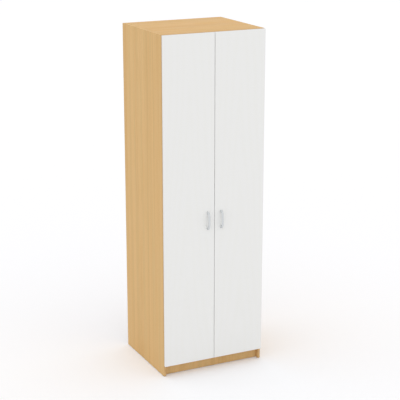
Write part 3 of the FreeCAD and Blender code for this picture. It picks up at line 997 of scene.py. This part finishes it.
# ------------------------------------------------------------------ sub-assemblies
@dataclass
class Carcass:
    """The boards of the case, their edging, the back and the plinth.

    Args:
        arch_shift_mm: how far the sides' arches lie behind the side's middle.
        flat_arch_shift_mm: how far the level boards' arches lie behind their middle.
        plinth_arch_shift_mm: how far the plinth's arches lie right of its middle.
        print_lines_mm: where the sides' darker printed lines lie, forward of the rear edge.
        lacquer_share: how much of the back's thickness the white lacquer takes.
        level_pale_painted_shade: palest tan of the level boards, darker than the sides': painted shade for
            how light falls on them.
        level_deep_painted_shade: their deep tan, darkened the same way as painted shade.
        level_cool_painted_shade: their cooler tan, darkened the same way as painted shade.
    """

    arch_shift_mm: float = 55.0
    flat_arch_shift_mm: float = -40.0
    plinth_arch_shift_mm: float = 90.0
    print_lines_mm: Tuple[float, ...] = (42.0, 375.0, 470.0)
    lacquer_share: float = 0.06
    level_pale_painted_shade: str = "#e0b77d"
    level_deep_painted_shade: str = "#cfa267"
    level_cool_painted_shade: str = "#d5b179"

    def build(self) -> None:
        """Dresses the boards; the number with each one moves its print."""
        for shift, name in ((0.0, "left_side"), (11.3, "right_side")):
            box = node_box(name)
            lines = tuple(float(box[1][1]) / MM - line for line in self.print_lines_mm)
            board = BeechBoard(Along.SIDE_UPRIGHT, box, 0, shift, arches=Arches(self.arch_shift_mm),
                               lines_mm=lines, edged_top=True)
            dress(name, board.material("beech decor board, " + name))
        # The level boards take darker copies of the sides' tans. This is painted shade for how light falls on
        # the top, shelf and bottom; a real wardrobe has one decor throughout.
        painted_shade_tans = (self.level_pale_painted_shade, self.level_deep_painted_shade, self.level_cool_painted_shade)
        flat_arches = Arches(self.flat_arch_shift_mm)
        for name, shift in (("top_panel", 23.0), ("hat_shelf", 31.0), ("bottom_panel", 47.0)):
            board = BeechBoard(Along.FLAT_LENGTHWISE, node_box(name), 2, shift, *painted_shade_tans, arches=flat_arches)
            dress(name, board.material("beech decor board, " + name))
        plinth_arches = Arches(self.plinth_arch_shift_mm)
        plinth = BeechBoard(Along.FRONT_UPRIGHT, node_box("plinth"), 1, 61.0, arches=plinth_arches)
        dress("plinth", plinth.material("beech decor board, plinth"))
        upright = AbsEdging(Along.SIDE_UPRIGHT).material("beech edging, upright")
        level = AbsEdging(Along.FRONT_LENGTHWISE).material("beech edging, level")
        for name in ("left_side_edging", "right_side_edging"):
            dress(name, upright)
        for name in ("top_edging", "shelf_edging", "bottom_edging"):
            dress(name, level)
        low, high = node_box("back_panel")
        split = float(low[1] + self.lacquer_share * (high[1] - low[1]))
        dress("back_panel", Hardboard(split).material("hardboard, white inside"))


@dataclass
class Fittings:
    """What joins the case: cams, bolts, dowels, nails, corner blocks, glides and their screws."""

    glide_chamfer: float = 0.6 * MM
    nail_radius: float = 1.2 * MM
    nail_point: float = 2.0 * MM
    around: int = 40

    def build(self) -> None:
        """Builds the glides and dresses the rest."""
        zinc = ZINC.material("zinc-plated steel")
        for name in ("cam_bolts", "cam_locks", "back_nails", "plinth_block_screws", "hinge_arm_pins"):
            dress(name, zinc)
        dress("dowels", TurnedBeech().material("beech dowel"))
        plastic = Moulding().material("moulded plastic, white")
        dress("plinth_blocks", plastic)
        self.glides(plastic)

    def glides(self, plastic: bpy.types.Material) -> None:
        """Round glides with a chamfered foot, and the nail that holds each.

        Args:
            plastic: their finish.
        """
        solids = []
        for low, high in solid_boxes("floor_glides", (0.1, 0.1, 1.0)):
            middle = (low + high) / 2
            radius = (high[0] - low[0]) / 2
            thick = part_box("left_side")[0][2] - low[2]
            nail, top, c = self.nail_radius, high[2] - low[2], self.glide_chamfer
            profile = [(0.4 * radius, 0.0), (radius - 2 * c, 0.0), (radius - c, 0.15 * c), (radius, c),
                       (radius, thick), (nail, thick), (nail, top - self.nail_point), (0.1 * nail, top)]
            origin = np.array([middle[0], middle[1], low[2]])
            solids.append(turned_solid(profile, self.around, origin, np.array([0, 0, 1.0])))
        Solid.join(solids).piece("floor_glides_turned", plastic, "white_plastic", "carcass", ["floor_glides"])


@dataclass
class RailSet:
    """Oval chromed rail in two screwed sockets.

    Args:
        wall: thickness of the tube.
        lip: how much the tube's ends are rounded.
        foot: chamfer where a socket's base meets the side panel.
        rim: chamfer round the base's other face.
        edge: chamfer round the collar's mouth.
        clear: gap between the collar and the rail.
        step: how far the collar stands in from the base's flat sides.
        around: points in a ring.
    """

    wall: float = 1.2 * MM
    lip: float = 0.3 * MM
    foot: float = 0.4 * MM
    rim: float = 0.8 * MM
    edge: float = 0.5 * MM
    clear: float = 0.2 * MM
    step: float = 0.15 * MM
    around: int = 72

    def oval(self, x: float, half_tall: float, half_thick: float, centre: np.ndarray,
             inwards: int = 1) -> np.ndarray:
        """One ring of an oval: a half circle above, a half circle below and straight sides between.

        Point = centre + half_thick * (cos a, sin a), moved up or down by half_tall - half_thick.

        Args:
            x: where the ring lies.
            half_tall: half of the oval's height.
            half_thick: half of its thickness.
            centre: the rail's middle.
            inwards: 1 for rings that go towards +X, -1 towards -X.

        Returns:
            The ring's points.
        """
        angle = (np.arange(self.around) + 0.5) * 2 * np.pi / self.around
        y = centre[1] + half_thick * np.cos(angle) * inwards
        z = centre[2] + half_thick * np.sin(angle) + np.sign(np.sin(angle)) * (half_tall - half_thick)
        return np.stack([np.full(self.around, x), y, z], axis=-1)

    def build(self) -> None:
        """Builds the tube, the sockets and their screws."""
        chrome = CHROME.material("chromed steel tube")
        low, high = node_box("hanging_rail")
        centre = (low + high) / 2
        tall, thick = (high[2] - low[2]) / 2, (high[1] - low[1]) / 2
        lip, wall = self.lip, self.wall
        outer = [(low[0], -lip), (low[0] + lip, 0.0), (high[0] - lip, 0.0), (high[0], -lip)]
        inner = [(high[0], lip - wall), (high[0] - lip, -wall), (low[0] + lip, -wall), (low[0], lip - wall)]
        rings = np.array([self.oval(x, tall + off, thick + off, centre) for x, off in outer + inner])
        faces = ring_quads(len(rings), self.around).tolist()
        last = (len(rings) - 1) * self.around
        step = np.arange(self.around)
        after = (step + 1) % self.around
        faces += np.stack([last + step, last + after, after, step], axis=-1).tolist()
        tube = Solid(rings.reshape(-1, 3), faces)
        tube.piece("hanging_rail_tube", chrome, "chrome_tube", "carcass", ["hanging_rail"], 30.0)
        self.sockets(centre, tall, thick, chrome)

    def sockets(self, centre: np.ndarray, tall: float, thick: float, chrome: bpy.types.Material) -> None:
        """Sockets and their screws: a base with a chamfered rim and a collar round the rail's end.

        Each ring is the rail's oval, grown by how far the socket stands outside the rail at that
        distance from the side panel.

        Args:
            centre: the rail's middle.
            tall: half of the rail's height.
            thick: half of its thickness.
            chrome: the finish.
        """
        solids = []
        rail_low, rail_high = node_box("hanging_rail")
        foot, rim, edge, clear = self.foot, self.rim, self.edge, self.clear
        for low, high in solid_boxes("rail_sockets", (0.2, 1.0, 1.0)):
            left = low[0] < 0
            start, out = (low[0], 1) if left else (high[0], -1)
            base = abs((rail_low if left else rail_high)[0] - start)
            depth = high[0] - low[0]
            ear = (high[2] - low[2]) / 2 - tall
            side = (high[1] - low[1]) / 2 - thick
            collar = side - self.step
            rings = []
            for x, less in ((0.0, foot), (foot, 0.0), (base - rim, 0.0), (base, rim)):
                rings.append(self.oval(start + out * x, tall + ear - less, thick + side - less, centre, out))
            for x, grow in ((base, collar), (depth - edge, collar), (depth, collar - edge),
                            (depth, clear + edge), (depth - edge, clear), (base, clear)):
                rings.append(self.oval(start + out * x, tall + grow, thick + grow, centre, out))
            solids.append(Solid.tube(np.array(rings)))
        joined = Solid.join(solids)
        joined.piece("rail_sockets_pressed", chrome, "chrome_tube", "carcass", ["rail_sockets"], 30.0)
        zinc = ZINC.material("zinc-plated steel, rail screws")
        group = ScrewGroup("rail_socket_screws", 1.8 * MM, 2.0 * MM, (0.2, 1.0, 0.01))
        group.build("rail_screws_turned", zinc, "carcass")


class Side(Enum):
    """Which door: its name and the way to its own outer side."""

    LEFT = ("left", -1)
    RIGHT = ("right", 1)


@dataclass
class BowHandle:
    """Arched bar handle with two feet flat on the door.

    Its middle line is half of a squared ellipse that starts and ends square to the door. Its section
    is a soft rectangle, thick along the door at the feet and thin at the crown.

    Args:
        side: which door it is on.
        crown_thick: thickness at the crown.
        foot_long: length of a foot along the door.
        foot_share: how quickly a foot thins out into the bar.
        crown_wide: width at the crown, as a share of the width at the feet.
        arch_power: how square the arch is.
        squareness: how square the section is.
        crowding: how much closer together the rings lie towards the feet.
        stations: rings along the bar.
        around: points in a ring.
    """

    side: Side
    crown_thick: float = 5.5 * MM
    foot_long: float = 18.0 * MM
    foot_share: float = 4.0
    crown_wide: float = 0.93
    arch_power: float = 2.5
    squareness: float = 2.7
    crowding: float = 0.35
    stations: int = 73
    around: int = 48

    def build(self) -> None:
        """Builds the bar.

        Middle line: |z / a| ** p + |y / b| ** p = 1 with p = arch_power, from the lower foot over the
        crown to the upper foot. Section: half thickness along the line's normal, half width along X,
        both on a superellipse. Thickness = crown + (foot - crown) * |z / a| ** foot_share.
        """
        name = self.side.value[0] + "_handle"
        low, high = node_box(name)
        door = high[1]
        middle_x, middle_z = (low[0] + high[0]) / 2, (low[2] + high[2]) / 2
        a = (high[2] - low[2]) / 2 - self.foot_long / 2
        b = door - low[1] - self.crown_thick / 2
        t = np.linspace(0, np.pi, self.stations)
        t = t - self.crowding * np.sin(2 * t) / 2
        cosine, sine = np.cos(t), np.sin(t).clip(0)
        along = np.sign(cosine) * np.abs(cosine) ** (2 / self.arch_power)
        rise = sine ** (2 / self.arch_power)
        line = np.stack([np.full_like(t, middle_x), door - b * rise, middle_z - a * along], axis=-1)
        steep = self.arch_power - 1
        upward = -np.sign(along) * np.abs(along) ** steep / a
        normal = np.stack([np.zeros_like(t), -(rise ** steep) / b, upward], axis=-1)
        normal /= np.linalg.norm(normal, axis=-1, keepdims=True)
        thick = self.crown_thick + (self.foot_long - self.crown_thick) * np.abs(along) ** self.foot_share
        wide = (high[0] - low[0]) * (self.crown_wide + (1 - self.crown_wide) * np.abs(along) ** 2)
        angle = np.arange(self.around) * 2 * np.pi / self.around
        power = 2 / self.squareness
        out = np.sign(np.cos(angle)) * np.abs(np.cos(angle)) ** power
        across = np.sign(np.sin(angle)) * np.abs(np.sin(angle)) ** power
        rings = (line[:, None, :] + normal[:, None, :] * (thick[:, None, None] / 2) * out[None, :, None]
                 + np.array([1.0, 0, 0]) * (wide[:, None, None] / 2) * across[None, :, None])
        rings[..., 1] = np.minimum(rings[..., 1], door)
        finish = SATIN_ZINC.material("satin plated zinc, " + name)
        body = self.side.value[0] + "_door"
        Solid.tube(rings).piece(name + "_bow", finish, "satin_aluminium", body, [name], 50.0)


@dataclass
class Door:
    """One door with its edging, hinges, handle, bumpers and screws.

    Args:
        side: which door.
        pad_rim: height of a bumper's straight rim, as a share of its height.
        pad_narrowing: how much of its radius a bumper loses from the rim to the top.
        around: points in a ring of a bumper.
    """

    side: Side
    pad_rim: float = 0.1
    pad_narrowing: float = 0.55
    around: int = 36

    def build(self) -> None:
        """Dresses the board and builds what is fixed to it."""
        name, out = self.side.value
        body = name + "_door"
        box = node_box(name + "_door")
        low, high = node_box(name + "_handle")
        board = WhiteBoard(box, (low + high) / 2, 5.0 if out < 0 else 5.4)
        dress(name + "_door", board.material("white decor board, " + name + " door"))
        white = AbsEdging(Along.FRONT_UPRIGHT, "#f1f1ef", "#ececea", 1.5)
        dress(name + "_door_edging", white.material("white edging, " + name + " door"))
        nickel = NICKEL.material("nickel-plated steel, " + name + " door")
        dress(name + "_hinge_cups", nickel)
        dress(name + "_hinge_links", nickel)
        zinc = ZINC.material("zinc-plated steel, " + name + " door")
        dress(name + "_cup_pins", zinc)
        BowHandle(self.side).build()
        sizes = (("_cup_screws", 0.5 * MM, 1.7 * MM), ("_handle_screws", 1.8 * MM, 2.0 * MM))
        for kind, head, shank in sizes:
            node = name + kind
            ScrewGroup(node, head, shank, (1.0, 1.0, 0.006), 1).build(node + "_turned", zinc, body)
        self.bumpers(name, body)

    def bumpers(self, name: str, body: str) -> None:
        """Clear domed pads that stop the door softly.

        Args:
            name: the door's name.
            body: the body they move with.
        """
        node = name + "_door_bumpers"
        solids = []
        for low, high in solid_boxes(node, (1.0, 1.0, 0.1)):
            middle = (low + high) / 2
            radius, tall = (high[0] - low[0]) / 2, high[1] - low[1]
            share = np.linspace(0.0, 1.0, 9)
            radii = radius * (1 - self.pad_narrowing * share ** 3)
            rise = tall * (self.pad_rim + (1 - self.pad_rim) * np.sin(share * np.pi / 2))
            profile = [(radius * 0.9, 0.0), *zip(radii.tolist(), rise.tolist())]
            origin = np.array([middle[0], low[1], middle[2]])
            solids.append(turned_solid(profile, self.around, origin, np.array([0, 1.0, 0])))
        clear = Moulding("#e9e9e4", "#e2e2dc", 0.25, 0.6, 0.6).material("clear polyurethane, " + name)
        Solid.join(solids).piece(node + "_domed", clear, "clear_bumper", body, [node])


@dataclass
class HingeMounts:
    """The carcass half of the hinges: plates, arms and their screws."""

    def build(self) -> None:
        """Dresses the plates and arms and builds the screws."""
        nickel = NICKEL.material("nickel-plated steel, hinge arms")
        dress("hinge_plates", nickel)
        dress("hinge_arms", nickel)
        zinc = ZINC.material("zinc-plated steel, hinge screws")
        sizes = (("hinge_plate_screws", 1.6 * MM, 2.5 * MM, 0.004),
                 ("hinge_arm_screws", 2.0 * MM, 2.0 * MM, 0.1))
        for node, head, shank, gap in sizes:
            ScrewGroup(node, head, shank, (0.2, 1.0, gap)).build(node + "_turned", zinc, "carcass")


# ------------------------------------------------------------------ floor, light and camera
@dataclass
class Studio:
    """Pale floor, white surround, one soft lamp and the camera.

    Args:
        floor_half: half of the floor's side.
        floor_colour: its colour.
        lift: how much light of its own the floor shows where it is seen.
        surround: strength of the light from all round; where it is seen it shows as plain white.
        lamp_strength: strength of the sun.
        lamp_spread_deg: how wide the sun is, which softens its shadows.
        lamp_turn_deg: the sun's turn about X and then Y, from straight above.
        azimuth_deg: the camera's turn about Z from the front; negative is to the left.
        elevation_deg: how far it looks down.
        distance: its distance from what it looks at.
        lens_mm: its focal length.
        sensor_mm: width of its sensor.
        far: how far it sees.
        aim: what it looks at.
    """

    floor_half: float = 40.0
    floor_colour: str = "#eeeef0"
    lift: float = 0.138
    surround: float = 0.93
    lamp_strength: float = 0.28
    lamp_spread_deg: float = 80.0
    lamp_turn_deg: Tuple[float, float] = (-8.0, -17.0)
    azimuth_deg: float = -25.93
    elevation_deg: float = 16.0
    distance: float = 7.856
    lens_mm: float = 108.4
    sensor_mm: float = 36.0
    far: float = 200.0
    aim: Tuple[float, float, float] = (0.042, 0.0, 1.0625)

    def seen(self, tree: Tree) -> Socket:
        """1 for the camera's rays and for those seen in metal or through clear plastic."""
        path = add_node(tree, "LightPath").node.outputs
        direct = add_node(tree, "Math", path["Is Camera Ray"], path["Is Glossy Ray"], operation="MAXIMUM")
        return add_node(tree, "Math", direct, path["Is Transmission Ray"], operation="MAXIMUM")

    def floor(self) -> None:
        """One large flat floor, matt and pale, lifted a little towards white where it is seen."""
        half = self.floor_half
        corners = np.array([(-half, -half, 0), (half, -half, 0), (half, half, 0), (-half, half, 0)])
        mesh = bpy.data.meshes.new("floor")
        mesh.from_pydata(corners.tolist(), [], [(0, 1, 2, 3)])
        item = bpy.data.objects.new("floor", mesh)
        bpy.context.scene.collection.objects.link(item)
        material = bpy.data.materials.new("pale matt floor")
        material.use_nodes = True
        tree = material.node_tree
        tree.nodes.clear()
        matt = add_node(tree, "BsdfDiffuse", named={"Color": linear(self.floor_colour)})
        strength = add_node(tree, "Math", self.seen(tree), self.lift, operation="MULTIPLY")
        glow = add_node(tree, "Emission", named={"Color": (1, 1, 1, 1), "Strength": strength})
        both = add_node(tree, "AddShader", matt, glow)
        add_node(tree, "OutputMaterial", both)
        mesh.materials.append(material)

    def surroundings(self) -> None:
        """Even white light from all round, seen as plain white."""
        world = bpy.data.worlds.new("white surround")
        bpy.context.scene.world = world
        world.use_nodes = True
        tree = world.node_tree
        tree.nodes.clear()
        rest = 1.0 - self.surround
        strength = add_node(tree, "Math", self.seen(tree), rest, self.surround, operation="MULTIPLY_ADD")
        back = add_node(tree, "Background", named={"Color": (1, 1, 1, 1), "Strength": strength})
        add_node(tree, "OutputWorld", back)

    def lamp(self) -> None:
        """One very soft sun from above, leaning to the left and a little to the rear."""
        light = bpy.data.lights.new("soft key", "SUN")
        light.energy = self.lamp_strength
        light.angle = math.radians(self.lamp_spread_deg)
        item = bpy.data.objects.new("soft key", light)
        item.rotation_euler = (*map(math.radians, self.lamp_turn_deg), 0)
        bpy.context.scene.collection.objects.link(item)

    def camera(self) -> None:
        """Camera at a standing person's distance and a little above the wardrobe."""
        data = bpy.data.cameras.new("camera")
        data.lens = self.lens_mm
        data.sensor_width = self.sensor_mm
        data.clip_end = self.far
        item = bpy.data.objects.new("camera", data)
        azimuth, elevation = math.radians(self.azimuth_deg), math.radians(self.elevation_deg)
        level = math.cos(elevation)
        back = np.array([math.sin(azimuth) * level, -math.cos(azimuth) * level, math.sin(elevation)])
        item.location = tuple(np.array(self.aim) + self.distance * back)
        item.rotation_euler = (math.pi / 2 - elevation, 0.0, azimuth)
        bpy.context.scene.collection.objects.link(item)
        bpy.context.scene.camera = item

    def build(self) -> None:
        """Sets up everything that isn't the wardrobe."""
        self.floor()
        self.surroundings()
        self.lamp()
        self.camera()
        bpy.context.scene.view_settings.view_transform = "Standard"


def main() -> None:
    """Builds the wardrobe's looks in order."""
    logging.basicConfig(level=logging.INFO, format="%(message)s")
    Studio().build()
    Carcass().build()
    Fittings().build()
    RailSet().build()
    HingeMounts().build()
    for side in Side:
        Door(side).build()


if __name__ == "__main__":
    main()
